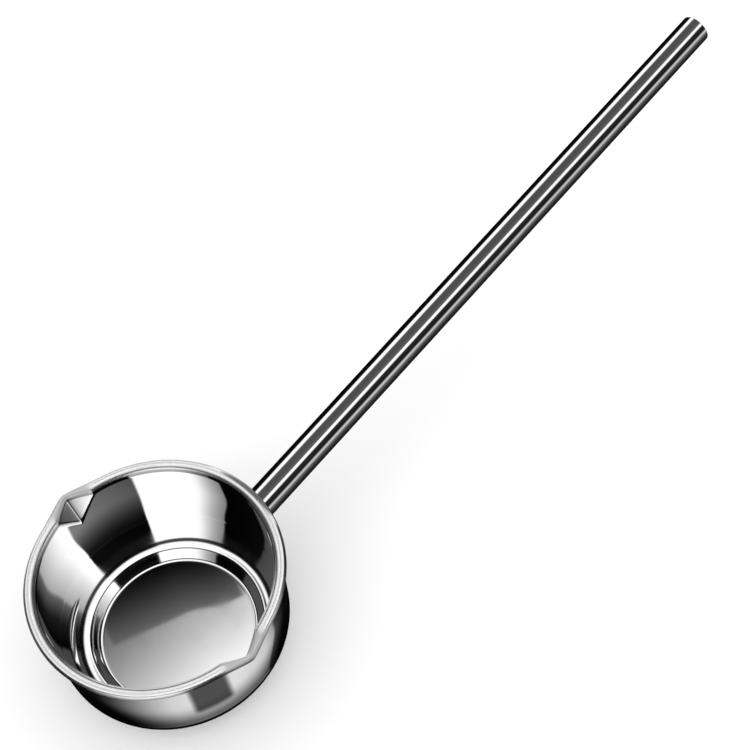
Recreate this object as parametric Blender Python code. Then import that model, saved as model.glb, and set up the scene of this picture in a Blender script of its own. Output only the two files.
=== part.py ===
"""Candle melting pot: a drawn stainless bowl with two pouring spouts, and a long tube handle welded on.

Metres, +Z up. The origin is the centre of the underside that the pot stands on, the handle
leaves towards +X, and the two spouts face +Y and -Y.
"""

import math

import bmesh
import bpy
from mathutils import Matrix, Vector

# Bowl: one sheet, drawn to a near-straight wall with a stepped floor
SHEET = 0.0015
BOWL_HEIGHT = 0.050
WALL_TOP_R = 0.0443  # inside radius under the lip
WALL_FOOT_R = 0.0439  # inside radius where the lower corner starts
CORNER_R = 0.009
STEP_R = 0.0349  # inside radius of the shoulder round the recessed floor
STEP_DEPTH = 0.0035
STEP_WIDTH = 0.0046

# Lip: the wall flares out in a quarter round and its edge is rolled over
FLARE_R = 0.0030
EDGE_CIRCLE_R = 0.04795  # radius of the circle that the rolled edge follows
EDGE_R = 0.00105

# Spouts: the lip is drawn out to a blunt point, over a V pressed into the wall
SPOUT_REACH = 0.0029  # how far the edge is drawn out at the point
SPOUT_BLUNT = math.radians(2.5)
GROOVE_DEPTH = 0.0047
GROOVE_HEIGHT = 0.0125
GROOVE_HALF = math.radians(11)

# Handle: a straight tube that rises away from the bowl
HANDLE_RISE = math.radians(7.25)
HANDLE_AXIS_Z = 0.0240  # height at which the handle's axis meets the bowl's axis
HANDLE_REACH = 0.3258  # from the bowl's axis to the far end, along the handle
TUBE_R = 0.00635
TUBE_WALL = 0.0004

# Bracket: a saddle plate on the wall, with a hollow spigot that the tube slides over
PLATE_WIDTH = 0.026
PLATE_TOP = 0.0405
PLATE_BOTTOM = 0.0185
PLATE_CORNER = 0.005
PLATE_THICK = 0.0010
SPIGOT_R = 0.0056
SPIGOT_WALL = 0.0008
SPIGOT_LENGTH = 0.015
SPIGOT_FLOOR = 0.003  # where the spigot's hollow starts
SPIGOT_EASE = 0.0005  # chamfer that leads the tube on
OUTLINE_SIDE = 0.0035  # longest straight side where the plate and its bead bend round the wall

# End plug and weld beads
PLUG_LENGTH = 0.007
PLUG_WALL = 0.0008
PLUG_DOME = 0.0004
PLATE_BEAD_R = 0.0009
TUBE_BEAD_R = 0.0008

GAP = 0.0003  # clearance kept between pieces that touch
CUT_SPARE = 0.010  # extra length left on the tube and the spigot before their ends are cut to the wall
BOWL_STEPS = 72
WALL_ROWS = (0.35, 0.6, 0.7, 0.79, 0.87, 0.94)  # closer together where the grooves are pressed
TUBE_SIDES = 40

PLATE_INNER_R = WALL_TOP_R + SHEET + GAP
HANDLE_DIRECTION = Vector((math.cos(HANDLE_RISE), 0, math.sin(HANDLE_RISE)))
HANDLE_ORIGIN = Vector((0, 0, HANDLE_AXIS_Z))


def clear_scene():
    for obj in list(bpy.data.objects):
        bpy.data.objects.remove(obj, do_unlink=True)


def material(name, colour, roughness, metallic=1.0):
    made = bpy.data.materials.new(name)
    made.use_nodes = True
    shader = made.node_tree.nodes["Principled BSDF"]
    shader.inputs["Base Color"].default_value = (*colour, 1)
    shader.inputs["Roughness"].default_value = roughness
    shader.inputs["Metallic"].default_value = metallic
    return made


def add_object(name, mesh, made=None):
    obj = bpy.data.objects.new(name, mesh)
    bpy.context.scene.collection.objects.link(obj)
    if made:
        mesh.materials.append(made)
    return obj


def finish_mesh(name, bm):
    """Closes a bmesh into a mesh with its faces pointing out, smooth except at hard edges."""
    bmesh.ops.recalc_face_normals(bm, faces=bm.faces)
    mesh = bpy.data.meshes.new(name)
    bm.to_mesh(mesh)
    bm.free()
    mesh.shade_smooth()
    mesh.set_sharp_from_angle(angle=math.radians(32))
    return mesh


def arc(centre, radius, start, end, steps, outward):
    """Points along an arc in the (r, z) plane, each with the normal that points to the bowl's outside."""
    found = []
    for i in range(steps + 1):
        angle = math.radians(start + (end - start) * i / steps)
        ray = Vector((math.cos(angle), math.sin(angle)))
        found.append((centre + radius * ray, outward * ray))
    return found


def sheet_line():
    """The bowl's inner face from the floor's centre to the top of the flare, as (point, normal) pairs."""
    turn = 2 * math.atan2(STEP_DEPTH, STEP_WIDTH)
    step_fillet = STEP_WIDTH / 2 / math.sin(turn)
    turn_degrees = math.degrees(turn)
    shoulder_z = SHEET + STEP_DEPTH
    down = Vector((0, -1))
    line = [(Vector((0, SHEET)), down)]
    floor_edge = Vector((STEP_R - STEP_WIDTH, SHEET + step_fillet))
    line += arc(floor_edge, step_fillet, -90, -90 + turn_degrees, 4, 1)
    shoulder = Vector((STEP_R, shoulder_z - step_fillet))
    line += arc(shoulder, step_fillet, 90 + turn_degrees, 90, 4, -1)[1:]
    corner = Vector((WALL_FOOT_R - CORNER_R, shoulder_z + CORNER_R))
    line += arc(corner, CORNER_R, -90, 0, 7, 1)[1:]
    flare = Vector((WALL_TOP_R + FLARE_R, BOWL_HEIGHT - FLARE_R))
    wall_foot, wall_top = corner + Vector((CORNER_R, 0)), flare - Vector((FLARE_R, 0))
    for share in WALL_ROWS:
        line.append((wall_foot.lerp(wall_top, share), Vector((1, 0))))
    line += arc(flare, FLARE_R, 180, 90, 4, -1)
    return line


def bowl_section():
    """The sheet's outline in (r, z), from the floor's centre over the rolled edge to the underside."""
    line = sheet_line()
    inner = [point for point, _ in line]
    outer = [point + SHEET * normal for point, normal in line]
    edge_centre = Vector((EDGE_CIRCLE_R, BOWL_HEIGHT - EDGE_R))
    edge = [point for point, _ in arc(edge_centre, EDGE_R, 90, -120, 8, 1)]
    return inner + edge + outer[::-1]


def spout_push(radius, bearing, z):
    """How far a point of the bowl moves outwards where a spout is drawn and pressed into it."""
    off = abs(abs(bearing) - math.pi / 2)
    lip_share = (radius - WALL_TOP_R) / (EDGE_CIRCLE_R - WALL_TOP_R)
    lip_share = min(max(lip_share, 0), 1) if z > BOWL_HEIGHT - FLARE_R - SHEET else 0
    reach = EDGE_CIRCLE_R + SPOUT_REACH
    half = math.acos(EDGE_CIRCLE_R / reach)
    blunted = math.hypot(off, SPOUT_BLUNT) - SPOUT_BLUNT * max(0, 1 - off / half)
    drawn = EDGE_CIRCLE_R / math.cos(max(0, half - blunted)) - EDGE_CIRCLE_R
    drop = (BOWL_HEIGHT - FLARE_R - z) / (GROOVE_HEIGHT - FLARE_R)
    fade = min(max(1 - drop, 0), 1)
    pressed = GROOVE_DEPTH * max(0, fade - off / GROOVE_HALF)
    return drawn * lip_share + pressed * (1 - lip_share)


def bowl(made):
    bm = bmesh.new()
    section = [bm.verts.new((point.x, 0, point.y)) for point in bowl_section()]
    edges = [bm.edges.new(pair) for pair in zip(section, section[1:])]
    bmesh.ops.spin(
        bm, geom=section + edges, cent=(0, 0, 0), axis=(0, 0, 1),
        angle=math.tau, steps=BOWL_STEPS, use_merge=True,
    )
    bmesh.ops.remove_doubles(bm, verts=bm.verts, dist=1e-6)
    for vert in bm.verts:
        radius = math.hypot(vert.co.x, vert.co.y)
        if radius > STEP_R:
            bearing = math.atan2(vert.co.y, vert.co.x)
            stretch = 1 + spout_push(radius, bearing, vert.co.z) / radius
            vert.co.x *= stretch
            vert.co.y *= stretch
    return add_object("bowl", finish_mesh("bowl", bm), made)


def along_handle(distance):
    return HANDLE_ORIGIN + HANDLE_DIRECTION * distance


def handle_matrix(distance):
    """Turns +Z onto the handle's axis and moves the origin to this distance from the bowl's axis."""
    return Matrix.Translation(along_handle(distance)) @ Matrix.Rotation(math.pi / 2 - HANDLE_RISE, 4, "Y")


def turned(name, outline, sides):
    """A solid turned about +Z from (r, z) points, which start and end on the axis or close on themselves."""
    bm = bmesh.new()
    ring = [bm.verts.new((r, 0, z)) for r, z in outline]
    pairs = list(zip(ring, ring[1:]))
    if outline[0][0] > 0:
        pairs.append((ring[-1], ring[0]))
    edges = [bm.edges.new(pair) for pair in pairs]
    bmesh.ops.spin(
        bm, geom=ring + edges, cent=(0, 0, 0), axis=(0, 0, 1),
        angle=math.tau, steps=sides, use_merge=True,
    )
    bmesh.ops.remove_doubles(bm, verts=bm.verts, dist=1e-7)
    return finish_mesh(name, bm)


def upright_cylinder(name, radius):
    """A cutter that stands on the bowl's axis."""
    bm = bmesh.new()
    height = 4 * BOWL_HEIGHT
    bmesh.ops.create_cone(bm, cap_ends=True, segments=180, radius1=radius, radius2=radius, depth=height)
    return hide_helper(add_object(name, finish_mesh(name, bm)))


def hide_helper(obj):
    obj.hide_render = True
    obj.display_type = "WIRE"
    return obj


def boolean(obj, operation, other):
    modifier = obj.modifiers.new(other.name, "BOOLEAN")
    modifier.operation = operation
    modifier.object = other


def wall_distance(radius):
    """How far along the handle's axis an upright cylinder of this radius is met."""
    return radius / math.cos(HANDLE_RISE)


def handle_tube(made):
    """The tube, its near end coped to sit on the saddle plate and its far edge eased."""
    start = wall_distance(PLATE_INNER_R) - CUT_SPARE
    length = HANDLE_REACH - start
    ease = TUBE_WALL / 2
    inner = TUBE_R - TUBE_WALL
    outline = [
        (inner, 0), (inner, length), (TUBE_R - ease, length), (TUBE_R, length - ease), (TUBE_R, 0),
    ]
    obj = add_object("handle_tube", turned("handle_tube", outline, TUBE_SIDES), made)
    obj.matrix_world = handle_matrix(start)
    boolean(obj, "DIFFERENCE", upright_cylinder("cope_cutter", PLATE_INNER_R + PLATE_THICK + GAP))
    return obj


def plate_outline(grow):
    """The saddle plate's round-cornered outline in (y, z), this much larger on every side."""
    half_width = PLATE_WIDTH / 2 + grow
    half_height = (PLATE_TOP - PLATE_BOTTOM) / 2 + grow
    middle = (PLATE_TOP + PLATE_BOTTOM) / 2
    corner = PLATE_CORNER + grow
    bends = []
    for sign_y, sign_z, first in ((1, 1, 0), (-1, 1, 90), (-1, -1, 180), (1, -1, 270)):
        centre = Vector((sign_y * (half_width - corner), middle + sign_z * (half_height - corner)))
        for turn in (0, 22.5, 45, 67.5, 90):
            angle = math.radians(first + turn)
            bends.append(centre + corner * Vector((math.cos(angle), math.sin(angle))))
    outline = []
    for start, end in zip(bends, bends[1:] + bends[:1]):
        sides = math.ceil((end - start).length / OUTLINE_SIDE)
        outline += [start.lerp(end, i / sides) for i in range(sides)]
    return outline


def wrap_on_wall(radius, y, z):
    """Bends a flat point round the bowl: y becomes the distance along the wall."""
    bearing = y / PLATE_INNER_R
    return Vector((radius * math.cos(bearing), radius * math.sin(bearing), z))


def saddle_plate():
    """A round-cornered plate wrapped round the bowl's wall under the lip."""
    bm = bmesh.new()
    bm.faces.new([bm.verts.new((PLATE_INNER_R, y, z)) for y, z in plate_outline(0)])
    columns = math.ceil(PLATE_WIDTH / OUTLINE_SIDE) * 2
    for i in range(1, columns):
        cut = Vector((0, PLATE_WIDTH * (i / columns - 0.5), 0))
        geometry = bm.verts[:] + bm.edges[:] + bm.faces[:]
        bmesh.ops.bisect_plane(bm, geom=geometry, plane_co=cut, plane_no=(0, 1, 0))
    grown = bmesh.ops.extrude_face_region(bm, geom=bm.faces[:])
    for item in grown["geom"]:
        if isinstance(item, bmesh.types.BMVert):
            item.co.x += PLATE_THICK
    for vert in bm.verts:
        vert.co = wrap_on_wall(*vert.co)
    return finish_mesh("handle_bracket", bm)


def handle_bracket(made):
    """The saddle plate with its spigot: a cup whose open end faces the handle's far end."""
    obj = add_object("handle_bracket", saddle_plate(), made)
    hollow = SPIGOT_R - SPIGOT_WALL
    outline = [
        (0, SPIGOT_FLOOR), (hollow, SPIGOT_FLOOR), (hollow, SPIGOT_LENGTH),
        (SPIGOT_R - SPIGOT_EASE, SPIGOT_LENGTH), (SPIGOT_R, SPIGOT_LENGTH - SPIGOT_EASE),
        (SPIGOT_R, -CUT_SPARE), (0, -CUT_SPARE),
    ]
    spigot = hide_helper(add_object("spigot", turned("spigot", outline, TUBE_SIDES)))
    spigot.matrix_world = handle_matrix(wall_distance(PLATE_INNER_R))
    boolean(spigot, "DIFFERENCE", upright_cylinder("spigot_root_cutter", PLATE_INNER_R + PLATE_THICK / 2))
    boolean(obj, "UNION", spigot)
    return obj


def end_plug(made):
    """A drawn cup pressed into the far end of the tube, its closed and slightly domed face outwards."""
    radius = TUBE_R - TUBE_WALL - GAP
    inner = radius - PLUG_WALL
    rim = PLUG_LENGTH - PLUG_DOME
    outline = [
        (0, PLUG_LENGTH), (radius * 0.6, PLUG_LENGTH - PLUG_DOME * 0.36), (radius - PLUG_DOME, rim),
        (radius, rim - PLUG_DOME), (radius, 0), (inner, 0), (inner, rim - PLUG_WALL), (0, rim - PLUG_WALL),
    ]
    obj = add_object("end_plug", turned("end_plug", outline, TUBE_SIDES), made)
    obj.matrix_world = handle_matrix(HANDLE_REACH - PLUG_LENGTH)
    return obj


def bead(name, points, radius, made):
    """A closed weld bead: a round bead along a loop of points."""
    curve = bpy.data.curves.new(name, "CURVE")
    curve.dimensions = "3D"
    curve.bevel_depth = radius
    curve.bevel_resolution = 1
    spline = curve.splines.new("POLY")
    spline.points.add(len(points) - 1)
    for target, point in zip(spline.points, points):
        target.co = (*point, 1)
    spline.use_cyclic_u = True
    curve.materials.append(made)
    obj = bpy.data.objects.new(name, curve)
    bpy.context.scene.collection.objects.link(obj)
    return obj


def plate_weld(made):
    """The bead that runs round the edge of the saddle plate on the wall."""
    radius = PLATE_INNER_R + PLATE_BEAD_R
    points = [wrap_on_wall(radius, y, z) for y, z in plate_outline(PLATE_BEAD_R + GAP)]
    return bead("bracket_weld", points, PLATE_BEAD_R, made)


def tube_weld(made):
    """The bead round the coped end of the tube, where it meets the saddle plate."""
    ring_r = TUBE_R + TUBE_BEAD_R + GAP
    reach = PLATE_INNER_R + PLATE_THICK + GAP + TUBE_BEAD_R
    across = Vector((0, 1, 0))
    up = across.cross(HANDLE_DIRECTION)
    points = []
    for i in range(TUBE_SIDES):
        angle = math.tau * i / TUBE_SIDES
        offset = HANDLE_ORIGIN + ring_r * (math.cos(angle) * across + math.sin(angle) * up)
        flat = math.sqrt(reach ** 2 - offset.y ** 2)
        distance = (flat - offset.x) / HANDLE_DIRECTION.x
        points.append(offset + HANDLE_DIRECTION * distance)
    return bead("tube_weld", points, TUBE_BEAD_R, made)


def main():
    clear_scene()
    bowl(material("polished_bowl", (0.74, 0.74, 0.75), 0.08))
    handle_bracket(material("pressed_bracket", (0.66, 0.66, 0.67), 0.28))
    handle_tube(material("polished_tube", (0.72, 0.72, 0.73), 0.10))
    end_plug(material("pressed_plug", (0.68, 0.68, 0.69), 0.20))
    plate_weld(material("plate_bead", (0.58, 0.56, 0.53), 0.36))
    tube_weld(material("tube_bead", (0.58, 0.55, 0.52), 0.36))


main()
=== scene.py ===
"""Looks for the candle melting pot: the drawn bowl, the handle and its joint, and the studio round them."""

import math

import bpy
from mathutils import Matrix, Vector


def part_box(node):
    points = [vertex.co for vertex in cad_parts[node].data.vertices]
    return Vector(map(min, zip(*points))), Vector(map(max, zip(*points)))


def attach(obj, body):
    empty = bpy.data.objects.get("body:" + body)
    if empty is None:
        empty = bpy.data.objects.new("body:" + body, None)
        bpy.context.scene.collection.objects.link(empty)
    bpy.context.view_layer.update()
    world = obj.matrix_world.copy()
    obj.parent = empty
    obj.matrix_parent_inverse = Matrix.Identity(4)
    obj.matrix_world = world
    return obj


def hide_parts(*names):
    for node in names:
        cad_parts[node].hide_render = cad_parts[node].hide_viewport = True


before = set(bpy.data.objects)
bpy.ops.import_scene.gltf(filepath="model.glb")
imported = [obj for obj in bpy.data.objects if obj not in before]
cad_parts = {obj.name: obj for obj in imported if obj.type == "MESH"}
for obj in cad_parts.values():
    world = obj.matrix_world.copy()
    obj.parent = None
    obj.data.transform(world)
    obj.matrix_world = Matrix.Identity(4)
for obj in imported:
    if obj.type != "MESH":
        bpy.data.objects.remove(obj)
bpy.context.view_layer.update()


# ---------------------------------------------------------------------------------------------
# Bowl. One stainless sheet, drawn and spun over a form: stepped floor, tight lower corner, a
# near-straight wall, and a lip flared outwards with its edge rolled over. Two spouts are pressed
# in afterwards with a V punch, then the whole bowl is buffed to a mirror on a wheel.
# ---------------------------------------------------------------------------------------------
_, bowl_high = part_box("bowl")
MOUTH_Z = bowl_high[2]
SHEET = 0.0015
FLOOR_STEP = 0.0035
FLOOR_STEP_WIDTH = 0.0046
SHOULDER_R = 0.0349
CORNER_R = 0.0088
WALL_FOOT_R = 0.0437
WALL_TOP_R = 0.0443
FLARE_WIDTH = 0.0030
FLARE_ROOT_R = 0.0016
FLARE_TURN = math.radians(72)  # how far the root bends before the gentler top takes over
FLARE_TOP_R = (FLARE_WIDTH - FLARE_ROOT_R * (1 - math.cos(FLARE_TURN))) / math.cos(FLARE_TURN)
FLARE_RISE = FLARE_ROOT_R * math.sin(FLARE_TURN) + FLARE_TOP_R * (1 - math.sin(FLARE_TURN))
ROLL_R = 0.00105
ROLL_CIRCLE_R = bowl_high[0] - ROLL_R + 0.00002
SPOUT_REACH = bowl_high[1] - ROLL_CIRCLE_R - ROLL_R
SPOUT_BLUNT = math.radians(2.2)
GROOVE_PRESS = 0.0047
GROOVE_HEIGHT = 0.0128
BELLY_Z = MOUTH_Z - GROOVE_HEIGHT - 0.001  # below this the wall draws in towards its foot
GROOVE_HALF = math.radians(11)
CREASE_BLUNT = 0.035  # how rounded the punch's edge is, as a share of the groove's half width
BOWL_SIDES = 288
SLIDE_TO_SPOUTS = 0.35  # how far the points round the bowl are drawn towards the two spouts
SMOOTH_BELOW = math.radians(40)


def arc_run(centre, radius, start, end, steps):
    """Points of an arc in the (r, z) plane, in degrees, leaving out the first."""
    run = []
    for i in range(1, steps + 1):
        angle = math.radians(start + (end - start) * i / steps)
        run.append((centre[0] + radius * math.cos(angle), centre[1] + radius * math.sin(angle)))
    return run


def straight_run(start, end, steps):
    """Points of a straight line, leaving out the first."""
    run = []
    for i in range(1, steps + 1):
        share = i / steps
        run.append((start[0] + (end[0] - start[0]) * share, start[1] + (end[1] - start[1]) * share))
    return run


def raise_rings(name, rings, sides, hollow=False):
    """A turned shell drawn up ring by ring from (r, z) pairs, closed at both centres or on itself."""
    bpy.ops.object.select_all(action="DESELECT")
    bpy.ops.mesh.primitive_circle_add(
        vertices=sides, radius=rings[0][0], location=(0, 0, rings[0][1]),
        fill_type="NOTHING" if hollow else "TRIFAN")
    shell = bpy.context.object
    shell.name = name
    bpy.ops.object.transform_apply(location=True, rotation=True, scale=True)
    bpy.ops.object.mode_set(mode="EDIT")
    bpy.ops.mesh.select_mode(type="EDGE")
    bpy.ops.mesh.select_all(action="DESELECT")
    bpy.ops.mesh.select_non_manifold()
    path = rings + rings[:1] if hollow else rings
    for (near_r, near_z), (far_r, far_z) in zip(path, path[1:]):
        grow = far_r / near_r
        bpy.ops.mesh.extrude_region_move(TRANSFORM_OT_translate={"value": (0, 0, far_z - near_z)})
        bpy.ops.transform.resize(value=(grow, grow, 1), center_override=(0, 0, far_z))
    if not hollow:
        bpy.ops.mesh.extrude_region_move()
        bpy.ops.mesh.merge(type="CENTER")
    bpy.ops.mesh.select_all(action="SELECT")
    bpy.ops.mesh.remove_doubles(threshold=1e-7)
    bpy.ops.mesh.normals_make_consistent(inside=False)
    bpy.ops.object.mode_set(mode="OBJECT")
    return shell


def sheet_side(offset):
    """One face of the sheet, from the flat floor's edge to the top of the flare."""
    turn = 2 * math.atan2(FLOOR_STEP, FLOOR_STEP_WIDTH)
    fillet = FLOOR_STEP_WIDTH / 2 / math.sin(turn)
    turn = math.degrees(turn)
    shoulder_z = SHEET + FLOOR_STEP
    foot = (SHOULDER_R - FLOOR_STEP_WIDTH, SHEET + fillet)
    corner = (WALL_FOOT_R - CORNER_R, shoulder_z + CORNER_R)
    root = (WALL_TOP_R + FLARE_ROOT_R, MOUTH_Z - FLARE_RISE)
    spread = FLARE_TOP_R - FLARE_ROOT_R
    top = (root[0] + spread * math.cos(FLARE_TURN), root[1] - spread * math.sin(FLARE_TURN))
    bend = 180 - math.degrees(FLARE_TURN)
    side = [(foot[0], SHEET - offset)]
    side += arc_run(foot, fillet + offset, -90, -90 + turn, 8)
    side += arc_run((SHOULDER_R, shoulder_z - fillet), fillet - offset, 90 + turn, 90, 8)
    side += arc_run(corner, CORNER_R + offset, -90, 0, 20)
    for _, height in straight_run((0, corner[1]), (0, BELLY_Z), 12):
        drop = (BELLY_Z - height) / (BELLY_Z - corner[1])
        side.append((WALL_TOP_R + offset - (WALL_TOP_R - WALL_FOOT_R) * drop * drop, height))
    side += straight_run(side[-1], (WALL_TOP_R + offset, root[1]), 16)
    side += arc_run(root, FLARE_ROOT_R - offset, 180, bend, 8)
    side += arc_run(top, FLARE_TOP_R - offset, bend, 90, 8)
    return side


def spout_push(radius, bearing, height):
    """How far the punch moves a point outwards, by its bearing round the bowl."""
    off = abs(abs(bearing) - math.pi / 2)
    on_lip = min(max((radius - WALL_TOP_R) / (ROLL_CIRCLE_R - WALL_TOP_R), 0), 1)
    if height < MOUTH_Z - FLARE_RISE - SHEET:
        on_lip = 0
    half = math.acos(ROLL_CIRCLE_R / (ROLL_CIRCLE_R + SPOUT_REACH))
    blunted = math.hypot(off, SPOUT_BLUNT) - SPOUT_BLUNT * max(0, 1 - off / half)
    drawn = ROLL_CIRCLE_R / math.cos(max(0, half - blunted)) - ROLL_CIRCLE_R
    drop = (MOUTH_Z - FLARE_RISE - height) / (GROOVE_HEIGHT - FLARE_RISE)
    across = math.hypot(off / GROOVE_HALF, CREASE_BLUNT) - CREASE_BLUNT
    pressed = GROOVE_PRESS * max(0, min(1 - drop, 1) - across)
    return drawn * on_lip + pressed * (1 - on_lip)


floor_edge_r = SHOULDER_R - FLOOR_STEP_WIDTH
flat_radii = [0.004, 0.010, 0.016, 0.022, 0.027, floor_edge_r - 0.0004]
rolled_edge = arc_run((ROLL_CIRCLE_R, MOUTH_Z - ROLL_R), ROLL_R, 90, -120, 20)
inner_face = [(r, SHEET) for r in flat_radii] + sheet_side(0)
outer_face = [(r, 0.0) for r in flat_radii] + sheet_side(SHEET)
bowl_rings = inner_face + [(ROLL_CIRCLE_R, MOUTH_Z)] + rolled_edge + outer_face[::-1]
bowl = raise_rings("bowl_drawn_sheet", bowl_rings, BOWL_SIDES)
turned_radius = bowl.data.attributes.new("turned_radius", "FLOAT", "POINT")
punched = bowl.data.attributes.new("punched", "FLOAT", "POINT")
for vert, turned, pressed in zip(bowl.data.vertices, turned_radius.data, punched.data):
    radius = math.hypot(vert.co.x, vert.co.y)
    bearing = math.atan2(vert.co.y, vert.co.x)
    bearing += SLIDE_TO_SPOUTS * math.sin(2 * bearing)
    push = spout_push(radius, bearing, vert.co.z) if radius > SHOULDER_R else 0
    turned.value = radius
    pressed.value = push / GROOVE_PRESS
    vert.co.x = (radius + push) * math.cos(bearing)
    vert.co.y = (radius + push) * math.sin(bearing)
bpy.ops.object.shade_smooth_by_angle(angle=SMOOTH_BELOW)

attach(bowl, "root")
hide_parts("bowl")


class Wire:
    """A shader socket that can be used in arithmetic; each operation adds its Math node."""

    def __init__(self, board, socket):
        self.board = board
        self.socket = socket

    def join(self, operation, *values):
        return self.board.add("ShaderNodeMath", {"operation": operation}, dict(enumerate(values)))

    def __add__(self, other):
        return self.join("ADD", self, other)

    def __mul__(self, other):
        return self.join("MULTIPLY", self, other)

    def __sub__(self, other):
        return self.join("SUBTRACT", self, other)

    def __rsub__(self, other):
        return self.join("SUBTRACT", other, self)

    def __pow__(self, other):
        return self.join("POWER", self, other)

    def __neg__(self):
        return self.join("MULTIPLY", self, -1)

    __radd__ = __add__
    __rmul__ = __mul__


class Board:
    """The node tree of one material or of the studio's surroundings."""

    def __init__(self, tree):
        self.tree = tree

    def add(self, kind, settings, sockets, out=0):
        """A new node: its settings first, then the value or the link of each socket."""
        node = self.tree.nodes.new(kind)
        for name, value in settings.items():
            if name == "stops":
                self.set_stops(node.color_ramp, value)
            else:
                setattr(node, name, value)
        for name, value in sockets.items():
            if isinstance(value, Wire):
                self.tree.links.new(value.socket, node.inputs[name])
            else:
                node.inputs[name].default_value = value
        return Wire(self, node.outputs[out])

    @staticmethod
    def set_stops(ramp, stops):
        """The first and last stop take the ramp's own two elements, and the rest go in between."""
        for element, (place, tone) in zip(ramp.elements, (stops[0], stops[-1])):
            element.position = place
            element.color = (tone, tone, tone, 1)
        for place, tone in stops[1:-1]:
            ramp.elements.new(place).color = (tone, tone, tone, 1)

    def rise(self, value, low, high):
        """Goes smoothly from 0 to 1 as the value goes from low to high."""
        settings = {"interpolation_type": "SMOOTHSTEP"}
        return self.add("ShaderNodeMapRange", settings, {"Value": value, "From Min": low, "From Max": high})

    def vector(self, operation, *values, out=0):
        return self.add("ShaderNodeVectorMath", {"operation": operation}, dict(enumerate(values)), out)

    def axes(self, vector):
        """The three coordinates of a vector."""
        split = self.tree.nodes.new("ShaderNodeSeparateXYZ")
        self.tree.links.new(vector.socket, split.inputs[0])
        return [Wire(self, output) for output in split.outputs]

    def tone_along(self, value, low, high, tones):
        """A row of cards edge to edge: (place, tone) pairs between low and high."""
        stops = [((place - low) / (high - low), tone) for place, tone in tones]
        share = (value - low) * (1 / (high - low))
        return self.add("ShaderNodeValToRGB", {"stops": stops}, {0: share})

    def bearing(self, up, side):
        """The angle in degrees of a point seen along an axis, from its two coordinates."""
        return self.add("ShaderNodeMath", {"operation": "ARCTAN2"}, {0: up, 1: side}) * (180 / math.pi)

    def streaks(self, values, detail=3.0):
        """Noise drawn out into lines: each coordinate comes divided by the grain's length along it."""
        drawn_out = self.add("ShaderNodeCombineXYZ", {}, dict(enumerate(values)))
        return self.add("ShaderNodeTexNoise", {}, {"Vector": drawn_out, "Scale": 1.0, "Detail": detail})

    def speckle(self, vector, size, detail=2.0):
        """Noise of about this grain size in metres."""
        sockets = {"Vector": vector, "Scale": 1 / size, "Detail": detail}
        return self.add("ShaderNodeTexNoise", {}, sockets)

    def tint(self, share, plain, tinted):
        """Mixes two colours, of which either may come from another node."""
        colours = [colour if isinstance(colour, Wire) else (*colour, 1) for colour in (plain, tinted)]
        sockets = {0: share, 6: colours[0], 7: colours[1]}
        return self.add("ShaderNodeMix", {"data_type": "RGBA"}, sockets, out=2)


class Metal(Board):
    """A metal finish on one piece, with the piece's own coordinates at hand."""

    def __init__(self, piece, name):
        self.made = bpy.data.materials.new(name)
        self.made.use_nodes = True
        super().__init__(self.made.node_tree)
        self.shader = self.made.node_tree.nodes["Principled BSDF"]
        self.shader.inputs["Metallic"].default_value = 1
        self.place = self.add("ShaderNodeTexCoord", {}, {}, out=3)
        piece.data.materials.append(self.made)

    def finish(self, colour, roughness, heights):
        """Wires the colour, the roughness, and each height in metres as relief."""
        self.tree.links.new(colour.socket, self.shader.inputs["Base Color"])
        self.tree.links.new(roughness.socket, self.shader.inputs["Roughness"])
        relief = self.add("ShaderNodeBump", {}, {"Height": heights, "Distance": 1.0})
        self.tree.links.new(relief.socket, self.shader.inputs["Normal"])


BOWL_STEEL = (0.92, 0.92, 0.925)
BOWL_CLOUDED = (0.80, 0.80, 0.80)
PAINTED_LIP_SHADE = (0.16, 0.16, 0.16)  # painted shade: a dark grey laid into the colour at the crease where the flare leaves the wall and round the rolled edge's outer side, for dark lines at both edges of the lip
MIRROR = 0.018
LIP_SATIN = 0.20
BASE_SATIN = 0.34
PUNCH_SATIN = 0.30
CORNER_SATIN = 0.05
SPUN_LINE = 0.0007
SPUN_PATCH = 1 / 30
SPUN_HEIGHT = 0.0000003
BUFFED_GRAIN = 0.00025
BUFFED_HEIGHT = 0.0000001
SHEET_WAVE = 0.018
SHEET_WAVE_HEIGHT = 0.000006
SMUDGE = 0.014

metal = Metal(bowl, "bowl_mirror_polish")
x, y, z = metal.axes(metal.place)
radius = metal.add("ShaderNodeAttribute", {"attribute_name": "turned_radius"}, {}, out=2)
pressed = metal.add("ShaderNodeAttribute", {"attribute_name": "punched"}, {}, out=2)
spun = metal.streaks((x * (1 / SPUN_PATCH), y * (1 / SPUN_PATCH), (radius + z) * (1 / SPUN_LINE)))
buffed = metal.speckle(metal.place, BUFFED_GRAIN, 1.0)
smudges = metal.rise(metal.speckle(metal.place, SMUDGE, 5.0), 0.50, 0.72)
waves = metal.speckle(metal.place, SHEET_WAVE, 0.0)
in_mouth = metal.rise(z, MOUTH_Z - FLARE_RISE * 1.1, MOUTH_Z - FLARE_RISE * 0.95)
lip = in_mouth * metal.rise(radius, WALL_TOP_R + 0.0001, WALL_TOP_R + 0.0006)
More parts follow.
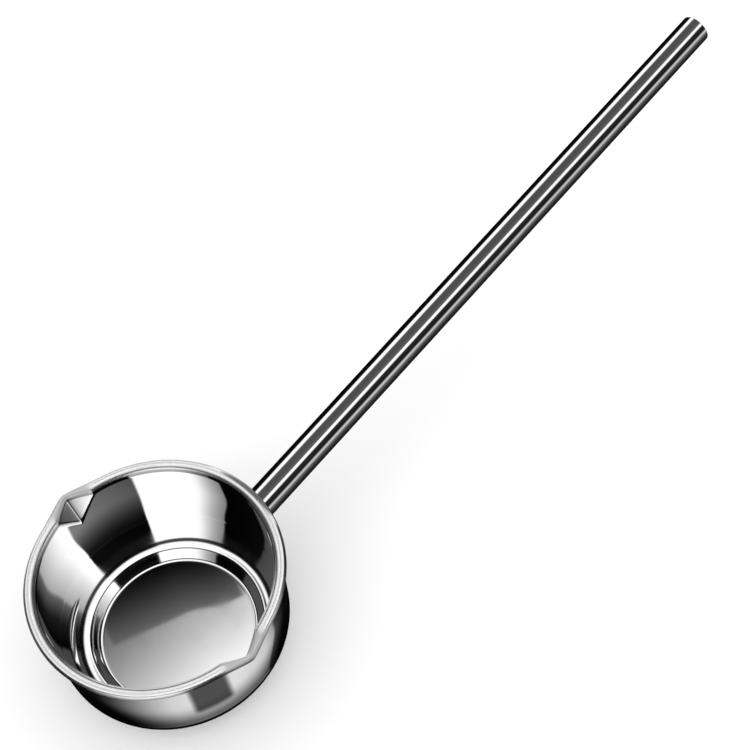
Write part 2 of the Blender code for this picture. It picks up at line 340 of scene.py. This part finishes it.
# painted shade: thin bands at the flare's root and on the outer side of the rolled edge, where the colour is
# darkened
lip_root_painted_shade = in_mouth * (1 - metal.rise(radius, WALL_TOP_R + 0.0002, WALL_TOP_R + 0.0009))
lip_edge_painted_shade = metal.rise(radius, ROLL_CIRCLE_R + ROLL_R * 0.45, ROLL_CIRCLE_R + ROLL_R * 0.95)
underside = 1 - metal.rise(z, 0.0002, 0.0012)
flat_floor = (1 - metal.rise(radius, floor_edge_r - 0.001, floor_edge_r)) * (1 - underside)
in_corner = metal.rise(radius, floor_edge_r, floor_edge_r + 0.0015) * (
    1 - metal.rise(radius, WALL_FOOT_R - 0.003, WALL_FOOT_R))
hazy = (smudges * 0.030 + spun * 0.012) * (1 - flat_floor * 0.65)
roughness = MIRROR + hazy + in_corner * CORNER_SATIN + metal.rise(pressed, 0.0, 0.2) * PUNCH_SATIN
roughness = roughness + lip * LIP_SATIN + underside * BASE_SATIN
clouded = metal.tint(smudges * 0.4 + underside * 0.4 + buffed * 0.1, BOWL_STEEL, BOWL_CLOUDED)
# the lip's painted shade darkens the colour at both of its edges
colour = metal.tint(lip_root_painted_shade * 0.75 + lip_edge_painted_shade * 0.7, clouded, PAINTED_LIP_SHADE)
relief = waves * (1 - flat_floor * 0.85) * SHEET_WAVE_HEIGHT
relief = relief + spun * (1 + underside * 6) * SPUN_HEIGHT + buffed * BUFFED_HEIGHT
metal.finish(colour, roughness, relief)


# ---------------------------------------------------------------------------------------------
# Handle tube. Half-inch stainless tube with a thin wall, buffed lengthwise to the same mirror.
# Its near end is coped to the saddle plate's curve and welded on, and its far edge is eased.
# ---------------------------------------------------------------------------------------------
HANDLE_RISE = math.radians(7.25)
HANDLE_AXIS_Z = 0.0240
HANDLE_REACH = 0.3258
_, tube_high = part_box("handle_tube")
TUBE_R = tube_high[1]
TUBE_WALL = 0.0004
TUBE_SIDES = 96
TUBE_START = 0.036  # inside the cope, so that the cut trims the whole end
COPE_R = 0.0472
handle_turn = Matrix.Translation((0, 0, HANDLE_AXIS_Z)) @ Matrix.Rotation(math.pi / 2 - HANDLE_RISE, 4, "Y")


def lay_on_handle(piece):
    """Turns a piece made along +Z onto the handle's axis, with its place in its mesh."""
    bpy.ops.object.select_all(action="DESELECT")
    piece.select_set(True)
    bpy.context.view_layer.objects.active = piece
    piece.matrix_world = handle_turn
    bpy.ops.object.transform_apply(location=True, rotation=True, scale=True)


def cut_with(piece, operation, cutter):
    """Cuts or joins two closed shells, and takes the cutter away."""
    bpy.ops.object.select_all(action="DESELECT")
    piece.select_set(True)
    bpy.context.view_layer.objects.active = piece
    bpy.ops.object.modifier_add(type="BOOLEAN")
    modifier = piece.modifiers[-1]
    modifier.operation = operation
    modifier.object = cutter
    bpy.ops.object.modifier_apply(modifier=modifier.name)
    bpy.data.objects.remove(cutter, do_unlink=True)


def upright_cutter(radius):
    """A smooth cylinder on the bowl's axis, to cope an end with."""
    bpy.ops.object.select_all(action="DESELECT")
    bpy.ops.mesh.primitive_cylinder_add(vertices=720, radius=radius, depth=4 * MOUTH_Z)
    return bpy.context.object


def smooth_finish(piece):
    bpy.ops.object.select_all(action="DESELECT")
    piece.select_set(True)
    bpy.context.view_layer.objects.active = piece
    bpy.ops.object.shade_smooth_by_angle(angle=SMOOTH_BELOW)


eased = arc_run((TUBE_R - TUBE_WALL / 2, HANDLE_REACH - TUBE_WALL / 2), TUBE_WALL / 2, 0, 180, 8)
inner_tube_r = TUBE_R - TUBE_WALL
tube_rings = [(TUBE_R, TUBE_START)]
tube_rings += straight_run((TUBE_R, TUBE_START), (TUBE_R, HANDLE_REACH - TUBE_WALL), 6)
tube_rings += [(TUBE_R, HANDLE_REACH - TUBE_WALL / 2)] + eased
tube_rings += [(inner_tube_r, HANDLE_REACH - 0.012), (inner_tube_r, TUBE_START)]
tube = raise_rings("handle_tube_polished", tube_rings, TUBE_SIDES, hollow=True)
lay_on_handle(tube)
cut_with(tube, "DIFFERENCE", upright_cutter(COPE_R))
smooth_finish(tube)
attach(tube, "root")
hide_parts("handle_tube")

TUBE_STEEL = (0.90, 0.90, 0.905)
TUBE_HANDLED = (0.78, 0.78, 0.78)
BUFF_LINE = 0.0004
BUFF_LENGTH = 0.030
BUFF_HEIGHT = 0.0000004
FINGERPRINT = 0.016
TUBE_WAVE = 0.045
TUBE_WAVE_HEIGHT = 0.000010
TUBE_MIRROR = 0.025

metal = Metal(tube, "tube_mirror_polish")
x, y, z = metal.axes(metal.place)
buffed = metal.streaks((x * (1 / BUFF_LENGTH), y * (1 / BUFF_LINE), z * (1 / BUFF_LINE)))
handled = metal.rise(metal.speckle(metal.place, FINGERPRINT, 5.0), 0.50, 0.75)
waves = metal.speckle(metal.place, TUBE_WAVE, 0.0)
roughness = TUBE_MIRROR + buffed * 0.03 + handled * 0.035
colour = metal.tint(handled * 0.6 + buffed * 0.15, TUBE_STEEL, TUBE_HANDLED)
metal.finish(colour, roughness, buffed * BUFF_HEIGHT + waves * TUBE_WAVE_HEIGHT)


# ---------------------------------------------------------------------------------------------
# Saddle bracket. A pressed stainless plate with round corners, bent to the wall's curve, with
# the short cup-shaped spigot that the tube slides over. Satin finish, edges rounded by tumbling.
# ---------------------------------------------------------------------------------------------
plate_low, plate_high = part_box("handle_bracket")
PLATE_WRAP_R = 0.0461
PLATE_BACK_R = 0.0457  # sits on the wall
PLATE_FACE_R = 0.0471
PLATE_WIDTH = 0.026
PLATE_BOTTOM = plate_low[2]
PLATE_TOP = plate_high[2]
PLATE_CORNER = 0.005
PLATE_EDGE = 0.00035
PLATE_COLUMNS = 40
SPIGOT_R = 0.0056
SPIGOT_WALL = 0.0008
SPIGOT_LENGTH = 0.015
SPIGOT_FLOOR = 0.003
SPIGOT_EASE = 0.0005
POLE_R = 0.001  # the innermost ring, which closes on the centre
SAME_POINT = 1e-6


def finish_modifier(piece, kind, **settings):
    """Adds a modifier, sets it, and applies it."""
    bpy.ops.object.modifier_add(type=kind)
    modifier = piece.modifiers[-1]
    for name, value in settings.items():
        setattr(modifier, name, value)
    bpy.ops.object.modifier_apply(modifier=modifier.name)


bpy.ops.object.select_all(action="DESELECT")
bpy.ops.mesh.primitive_plane_add(size=1, rotation=(0, math.pi / 2, 0))
bracket = bpy.context.object
bracket.name = "handle_saddle_bracket"
bracket.scale = (PLATE_TOP - PLATE_BOTTOM, PLATE_WIDTH, 1)
bracket.location = (0, 0, (PLATE_TOP + PLATE_BOTTOM) / 2)
bpy.ops.object.transform_apply(location=True, rotation=True, scale=True)
bpy.ops.object.mode_set(mode="EDIT")
bpy.ops.mesh.select_all(action="SELECT")
bpy.ops.mesh.bevel(offset=PLATE_CORNER, segments=10, affect="VERTICES")
for column in range(1, PLATE_COLUMNS):
    bpy.ops.mesh.select_all(action="SELECT")
    cut_y = PLATE_WIDTH * (column / PLATE_COLUMNS - 0.5)
    bpy.ops.mesh.bisect(plane_co=(0, cut_y, 0), plane_no=(0, 1, 0))
bpy.ops.object.mode_set(mode="OBJECT")
finish_modifier(bracket, "SOLIDIFY", thickness=PLATE_FACE_R - PLATE_BACK_R, offset=0)
finish_modifier(
    bracket, "BEVEL", width=PLATE_EDGE, segments=3, limit_method="ANGLE", angle_limit=math.radians(60))
for vert in bracket.data.vertices:
    wrapped_r = (PLATE_FACE_R + PLATE_BACK_R) / 2 + vert.co.x
    bearing = vert.co.y / PLATE_WRAP_R
    vert.co.x = wrapped_r * math.cos(bearing)
    vert.co.y = wrapped_r * math.sin(bearing)
bpy.ops.object.mode_set(mode="EDIT")
bpy.ops.mesh.select_all(action="SELECT")
bpy.ops.mesh.normals_make_consistent(inside=False)
bpy.ops.object.mode_set(mode="OBJECT")

spigot_root = PLATE_WRAP_R / math.cos(HANDLE_RISE)
spigot_end = spigot_root + SPIGOT_LENGTH
spigot_bore = SPIGOT_R - SPIGOT_WALL
spigot_rings = [(POLE_R, TUBE_START), (SPIGOT_R, TUBE_START), (SPIGOT_R, spigot_end - SPIGOT_EASE)]
spigot_rings += arc_run((SPIGOT_R - SPIGOT_EASE, spigot_end - SPIGOT_EASE), SPIGOT_EASE, 0, 90, 6)
spigot_rings += [(spigot_bore, spigot_end), (spigot_bore, spigot_root + SPIGOT_FLOOR)]
spigot_rings += [(POLE_R, spigot_root + SPIGOT_FLOOR)]
spigot = raise_rings("spigot", spigot_rings, TUBE_SIDES)
lay_on_handle(spigot)
cut_with(spigot, "DIFFERENCE", upright_cutter((PLATE_BACK_R + PLATE_FACE_R) / 2))
cut_with(bracket, "UNION", spigot)
bpy.ops.object.mode_set(mode="EDIT")
bpy.ops.mesh.select_all(action="SELECT")
bpy.ops.mesh.remove_doubles(threshold=SAME_POINT)
bpy.ops.object.mode_set(mode="OBJECT")
smooth_finish(bracket)
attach(bracket, "root")
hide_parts("handle_bracket")

PLATE_STEEL = (0.72, 0.72, 0.73)
PLATE_SCUFFED = (0.52, 0.52, 0.53)
PLATE_SATIN = 0.20
BRUSH_HEIGHT = 0.0000035

metal = Metal(bracket, "bracket_satin")
x, y, z = metal.axes(metal.place)
brushed = metal.streaks((x * 900, y * 900, z * 130), 4.0)
rubbed = metal.rise(metal.speckle(metal.place, 0.006, 4.0), 0.42, 0.70)
colour = metal.tint(brushed * 0.5 + rubbed * 0.3, PLATE_STEEL, PLATE_SCUFFED)
metal.finish(colour, PLATE_SATIN + brushed * 0.16 + rubbed * 0.06, brushed * BRUSH_HEIGHT)


# ---------------------------------------------------------------------------------------------
# Weld beads. TIG welds laid by hand: one round the edge of the saddle plate on the wall, one
# round the foot of the tube on the plate. Each shows the ripples of its puddles and a heat tint.
# ---------------------------------------------------------------------------------------------
PLATE_BEAD_R = 0.0009
TUBE_BEAD_R = 0.0008
BEAD_SPREAD = 1.16  # the beads wet the metal on both sides
RIPPLE = 0.0010
RIPPLE_STEPS = 9
RIPPLE_SHARE = 0.11
CLEARANCE = 0.0003
ROUTE_STEP = 0.0007
BEAD_BRIGHT = (0.66, 0.65, 0.64)
BEAD_STRAW = (0.62, 0.52, 0.36)
BEAD_BLUED = (0.34, 0.36, 0.48)
BEAD_SATIN = 0.26
GRIT = 0.0003
GRIT_HEIGHT = 0.000006


def lay_bead(name, route, radius):
    """A rippled bead along a closed route of points."""
    lengths = [(b - a).length for a, b in zip(route, route[1:] + route[:1])]
    ripples = round(sum(lengths) / RIPPLE)
    curve = bpy.data.curves.new(name, "CURVE")
    curve.dimensions = "3D"
    curve.bevel_depth = radius * BEAD_SPREAD
    curve.bevel_resolution = 6
    spline = curve.splines.new("POLY")
    spline.points.add(ripples * RIPPLE_STEPS - 1)
    spline.use_cyclic_u = True
    for i, point in enumerate(spline.points):
        share = i / (ripples * RIPPLE_STEPS) * len(route)
        start = int(share)
        place = route[start].lerp(route[(start + 1) % len(route)], share - start)
        point.co = (*place, 1)
        swell = abs(math.sin(math.pi * i / RIPPLE_STEPS)) ** 0.6
        hand = math.sin(i * 0.021) * 0.03 + math.sin(i * 0.0083 + 1) * 0.03
        point.radius = 1 - RIPPLE_SHARE + RIPPLE_SHARE * swell + hand
    bead = bpy.data.objects.new(name, curve)
    bpy.context.scene.collection.objects.link(bead)
    bpy.ops.object.select_all(action="DESELECT")
    bead.select_set(True)
    bpy.context.view_layer.objects.active = bead
    bpy.ops.object.convert(target="MESH")
    return bpy.context.object


def weld_finish(bead, name):
    """Bright ripples with straw and blue heat tint in patches."""
    metal = Metal(bead, name)
    patches = metal.rise(metal.speckle(metal.place, 0.005, 3.0), 0.40, 0.66)
    blued = metal.rise(metal.speckle(metal.place, 0.0031, 2.0), 0.56, 0.70)
    colour = metal.tint(blued * 0.5, metal.tint(patches, BEAD_BRIGHT, BEAD_STRAW), BEAD_BLUED)
    grit = metal.speckle(metal.place, GRIT, 3.0)
    metal.finish(colour, BEAD_SATIN + patches * 0.12 + grit * 0.08, grit * GRIT_HEIGHT)


plate_half = Vector((PLATE_WIDTH / 2, (PLATE_TOP - PLATE_BOTTOM) / 2))
bead_corner = PLATE_CORNER + PLATE_BEAD_R + CLEARANCE
plate_route = []
for quarter, (side_y, side_z) in enumerate(((1, 1), (-1, 1), (-1, -1), (1, -1))):
    centre_y = side_y * (plate_half.x - PLATE_CORNER)
    centre_z = (PLATE_TOP + PLATE_BOTTOM) / 2 + side_z * (plate_half.y - PLATE_CORNER)
    for step in range(13):
        angle = math.radians(90 * quarter + 7.5 * step)
        plate_route.append((
            centre_y + bead_corner * math.cos(angle),
            centre_z + bead_corner * math.sin(angle)))
evened = []
for start, end in zip(plate_route, plate_route[1:] + plate_route[:1]):
    steps = max(1, round(math.dist(start, end) / ROUTE_STEP))
    evened += [start] + straight_run(start, end, steps)[:-1]
wrapped = []
for flat_y, flat_z in evened:
    bearing = flat_y / PLATE_WRAP_R
    reach = PLATE_WRAP_R + PLATE_BEAD_R * 0.55
    wrapped.append(Vector((reach * math.cos(bearing), reach * math.sin(bearing), flat_z)))
plate_bead = lay_bead("plate_weld_bead", wrapped, PLATE_BEAD_R)
smooth_finish(plate_bead)
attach(plate_bead, "root")
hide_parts("bracket_weld")
weld_finish(plate_bead, "plate_bead_tinted")

handle_axis = Vector((math.cos(HANDLE_RISE), 0, math.sin(HANDLE_RISE)))
across = Vector((0, 1, 0))
upward = across.cross(handle_axis)
foot_ring = TUBE_R + TUBE_BEAD_R * 0.75
foot_reach = PLATE_FACE_R + TUBE_BEAD_R * 0.75
foot_route = []
for step in range(120):
    angle = math.tau * step / 120
    offset = Vector((0, 0, HANDLE_AXIS_Z)) + foot_ring * (math.cos(angle) * across + math.sin(angle) * upward)
    flat = math.sqrt(foot_reach ** 2 - offset.y ** 2)
    foot_route.append(offset + handle_axis * ((flat - offset.x) / handle_axis.x))
tube_bead = lay_bead("tube_weld_bead", foot_route, TUBE_BEAD_R)
smooth_finish(tube_bead)
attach(tube_bead, "root")
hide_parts("tube_weld")
weld_finish(tube_bead, "tube_bead_tinted")


# ---------------------------------------------------------------------------------------------
# End plug. A small drawn cup of stainless sheet, pressed into the far end of the tube with its
# slightly domed face outwards. It was faced on a lathe, which leaves fine rings.
# ---------------------------------------------------------------------------------------------
PLUG_R = TUBE_R - TUBE_WALL - 0.00002
PLUG_LENGTH = 0.007
PLUG_WALL = 0.0008
PLUG_DOME = 0.0004
PLUG_ROUND = 0.0005
PLUG_STEEL = (0.78, 0.78, 0.79)
PLUG_SCUFFED = (0.55, 0.55, 0.55)
PLUG_SATIN = 0.14
LATHE_LINE = 1 / 2600
LATHE_HEIGHT = 0.0000025

plug_end = HANDLE_REACH - 0.0001
plug_rim = plug_end - PLUG_DOME
plug_inner = PLUG_R - PLUG_WALL
dome_rings = []
for share in (0.1, 0.25, 0.4, 0.55, 0.7, 0.82):
    dome_rings.append((PLUG_R * share, plug_end - PLUG_DOME * share * share))
plug_rings = dome_rings + [(PLUG_R - PLUG_ROUND, plug_rim)]
plug_rings += arc_run((PLUG_R - PLUG_ROUND, plug_rim - PLUG_ROUND), PLUG_ROUND, 90, 0, 6)
plug_rings += [(PLUG_R, plug_end - PLUG_LENGTH), (plug_inner, plug_end - PLUG_LENGTH)]
plug_rings += [(plug_inner, plug_rim - PLUG_WALL), (0.0006, plug_rim - PLUG_WALL)]
plug = raise_rings("tube_end_plug", plug_rings, TUBE_SIDES)
lay_on_handle(plug)
smooth_finish(plug)
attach(plug, "root")
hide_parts("end_plug")

metal = Metal(plug, "plug_faced")
x, y, z = metal.axes(metal.place)
from_axis = (z - HANDLE_AXIS_Z) * math.cos(HANDLE_RISE) - x * math.sin(HANDLE_RISE)
turned = (from_axis * from_axis + y * y) ** 0.5
rings = metal.add(
    "ShaderNodeTexNoise", {"noise_dimensions": "1D"}, {"W": turned, "Scale": 1 / LATHE_LINE, "Detail": 3.0})
scuffs = metal.rise(metal.speckle(metal.place, 0.003, 4.0), 0.45, 0.70)
colour = metal.tint(rings * 0.3 + scuffs * 0.4, PLUG_STEEL, PLUG_SCUFFED)
metal.finish(colour, PLUG_SATIN + rings * 0.12 + scuffs * 0.10, rings * LATHE_HEIGHT)


# ---------------------------------------------------------------------------------------------
# Studio. A pale floor and a soft white tent. The metal sees a set of white and black cards
# instead of the tent, as on a product table: they draw the panels and stripes of the polish.
# ---------------------------------------------------------------------------------------------
FLOOR_SIZE = 6
FLOOR_TONE = 0.93
TENT_LIGHT = 1.25
CARD_LIGHT = 1.16

bpy.ops.object.select_all(action="DESELECT")
bpy.ops.mesh.primitive_plane_add(size=FLOOR_SIZE)
floor = bpy.context.object
floor.name = "studio_floor"
floor_paint = bpy.data.materials.new("floor_paint")
floor_paint.use_nodes = True
board = Board(floor_paint.node_tree)
mottle = board.speckle(board.add("ShaderNodeTexCoord", {}, {}, out=3), 0.3, 3.0)
paint = board.tint(mottle * 0.02, (FLOOR_TONE,) * 3, (0.8, 0.8, 0.8))
shader = floor_paint.node_tree.nodes["Principled BSDF"]
floor_paint.node_tree.links.new(paint.socket, shader.inputs["Base Color"])
shader.inputs["Roughness"].default_value = 0.9
shader.inputs["Specular IOR Level"].default_value = 0.1
floor.data.materials.append(floor_paint)
for reflected in (floor, bowl, tube, bracket, plate_bead, tube_bead, plug):
    reflected.visible_glossy = False

LOOK_AT = Vector((0.1196, 0.0007, 0.040))
LOOK_DISTANCE = 0.7105
LOOK_BEARING = math.radians(-128.67)
LOOK_HEIGHT = math.radians(56.55)
LOOK_ROLL = math.radians(-10.35)

lens = bpy.data.cameras.new("product_camera")
lens.lens = 86.4
camera = bpy.data.objects.new("product_camera", lens)
bpy.context.scene.collection.objects.link(camera)
bpy.context.scene.camera = camera
toward = Vector((
    math.cos(LOOK_HEIGHT) * math.cos(LOOK_BEARING),
    math.cos(LOOK_HEIGHT) * math.sin(LOOK_BEARING),
    math.sin(LOOK_HEIGHT)))
stand = LOOK_AT + toward * LOOK_DISTANCE
turn = toward.to_track_quat("Z", "Y").to_matrix().to_4x4()
camera.matrix_world = Matrix.Translation(stand) @ turn @ Matrix.Rotation(LOOK_ROLL, 4, "Z")

world = bpy.data.worlds.new("studio")
bpy.context.scene.world = world
world.use_nodes = True
world.node_tree.nodes.clear()
board = Board(world.node_tree)
ray = board.add("ShaderNodeTexCoord", {}, {})

# The cards hang where a patch of metal that leans this way shows them from the table's front:
# facing is the patch's bearing from the front in degrees, lean is its tilt upwards.
sight = (Vector((0, 0, MOUTH_Z / 2)) - stand).normalized()
front = Vector((-sight.x, -sight.y, 0)).normalized()
beside = Vector((-front.y, front.x, 0))
patch = board.vector("NORMALIZE", board.vector("SUBTRACT", ray, tuple(sight)))
to_front = board.vector("DOT_PRODUCT", patch, tuple(front), out=1)
to_side = board.vector("DOT_PRODUCT", patch, tuple(beside), out=1)
patch_z = board.axes(patch)[2]
facing = board.bearing(to_side, to_front)
lean = board.add("ShaderNodeMath", {"operation": "ARCSINE"}, {0: patch_z}) * (180 / math.pi)


def over(under, mask, upper):
    return mask * (upper - under) + under


# white and black panels for the inside of the bowl, which close in towards its floor
round_wall = facing * (board.rise(lean, 1.9, 4.6) * 0.14 + 1)
inside_tones = board.tone_along(round_wall, -180, 180, [
    (-180, 0.85), (-150, 0.85), (-128, 0.30), (-98, 0.30), (-86, 0.26), (-85, 0.07), (-56, 0.03), (-55, 0.48),
    (-48, 0.66), (-40, 0.95), (-34, 1.0), (-9.4, 1.0), (-8.7, 0.34), (30, 0.52), (30.7, 1.0), (38, 0.97),
    (48, 0.80), (60, 0.62), (60.8, 0.38), (73, 0.12), (88, 0.04), (89, 0.26), (128, 0.30), (150, 0.85),
    (180, 0.85)])
dark_panel = board.rise(round_wall, -9.4, -8.7) - board.rise(round_wall, 30, 30.7)
inside_tones = inside_tones * (1 - 0.85 * dark_panel * board.rise(lean, 1.3, 4.6))
# softer, lower cards for the outside, drawn together and fading to black under the belly
belly = board.rise(-lean, 1.7, 5.0)
outside_tones = board.tone_along(facing * (belly * 0.35 + 1), -180, 180, [
    (-180, 0.60), (-140, 0.45), (-110, 0.12), (-62, 0.05), (-54, 0.10), (-46, 0.24), (-36, 0.46), (-26, 0.66),
    (-18, 0.78), (-8, 0.84), (20, 0.84), (36, 0.76), (44, 0.60), (46, 0.26), (60, 0.07), (110, 0.12),
    (140, 0.45), (180, 0.60)])
grey_tab = (board.rise(facing, -10, -6) - board.rise(facing, 9, 13)) * (1 - board.rise(-lean, 3.2, 4.0))
outside_tones = over(outside_tones, grey_tab, 0.30) * (1 - 0.92 * board.rise(-lean, 2.2, 6.5))
tones = over(outside_tones, board.rise(lean, -1.0, 0.2), inside_tones)
# the open white tent overhead, with the dark frame of its opening round it
tent_frame = board.rise(lean, 66, 71) - board.rise(lean, 75, 80)
tones = tones * (1 - 0.75 * tent_frame)
tones = over(tones, board.rise(lean, 76, 82), 0.97)
# a card with a wavy black edge, which only the flat floor of the bowl shows
wave_edge = board.rise(to_side, 0.004, 0.018) * 0.0024 + 0.0045
past_edge = to_front - wave_edge
black_card = (1 - board.rise(past_edge, -0.0004, 0.0003)) * (
    board.rise(to_side, -0.0210, -0.0196) - board.rise(to_side, 0.0218, 0.0236))
black_tones = past_edge * 22 + 0.38
white_tones = past_edge * 17 + to_side * 6 + 0.60
floor_tones = over(white_tones, black_card, black_tones.join("MAXIMUM", black_tones, 0.05))
floor_card = 1 - board.rise((to_side * to_side + to_front * to_front) ** 0.5, 0.050, 0.060)
tones = over(tones, floor_card, floor_tones)
seen_in_metal = board.add("ShaderNodeLightPath", {}, {}, out=3)
light = over(TENT_LIGHT, seen_in_metal, tones ** 2.2 * CARD_LIGHT)
background = board.add("ShaderNodeBackground", {}, {"Color": light})
output = world.node_tree.nodes.new("ShaderNodeOutputWorld")
world.node_tree.links.new(background.socket, output.inputs["Surface"])
bpy.context.scene.view_settings.view_transform = "Standard"

# Long cards in a trough round the handle, open below, which draw its stripes from end to end.
CARD_TROUGH_R = 0.030
CARD_START = 0.0525
CARD_END = 0.36

bpy.ops.object.select_all(action="DESELECT")
bpy.ops.mesh.primitive_cylinder_add(
    vertices=120, radius=CARD_TROUGH_R, depth=CARD_END - CARD_START, end_fill_type="NOTHING",
    location=(0, 0, (CARD_START + CARD_END) / 2))
trough = bpy.context.object
trough.name = "handle_card_trough"
bpy.ops.object.transform_apply(location=True, rotation=True, scale=True)
lay_on_handle(trough)
card_light = bpy.data.materials.new("handle_card_light")
card_light.use_nodes = True
card_light.node_tree.nodes.clear()
board = Board(card_light.node_tree)
x, y, z = board.axes(board.add("ShaderNodeTexCoord", {}, {}, out=3))
above_axis = (z - HANDLE_AXIS_Z) * math.cos(HANDLE_RISE) - x * math.sin(HANDLE_RISE)
round_handle = board.bearing(above_axis, y)
below_far_side = board.add("ShaderNodeMath", {"operation": "LESS_THAN"}, {0: round_handle, 1: -90.0})
round_handle = round_handle + below_far_side * 360
handle_tones = board.tone_along(round_handle, -90, 270, [
    (-50, 0.04), (6, 0.04), (26, 0.13), (30, 0.13), (31.5, 0.95), (51, 1.0), (56, 0.90), (59.5, 0.50),
    (65, 0.30), (92, 0.30), (112, 0.36), (114, 0.60), (116, 0.97), (128, 1.0), (130, 0.95), (132.5, 0.60),
    (136, 0.16), (163.5, 0.12), (167, 0.30), (171, 0.65), (182, 0.80), (187.5, 0.50), (200, 0.32),
    (217, 0.20), (241, 0.12)])
glow = board.add("ShaderNodeEmission", {}, {"Color": handle_tones ** 2.2 * CARD_LIGHT})
output = card_light.node_tree.nodes.new("ShaderNodeOutputMaterial")
card_light.node_tree.links.new(glow.socket, output.inputs["Surface"])
trough.data.materials.append(card_light)
trough.visible_camera = False
trough.visible_diffuse = False
trough.visible_shadow = False
trough.visible_transmission = False
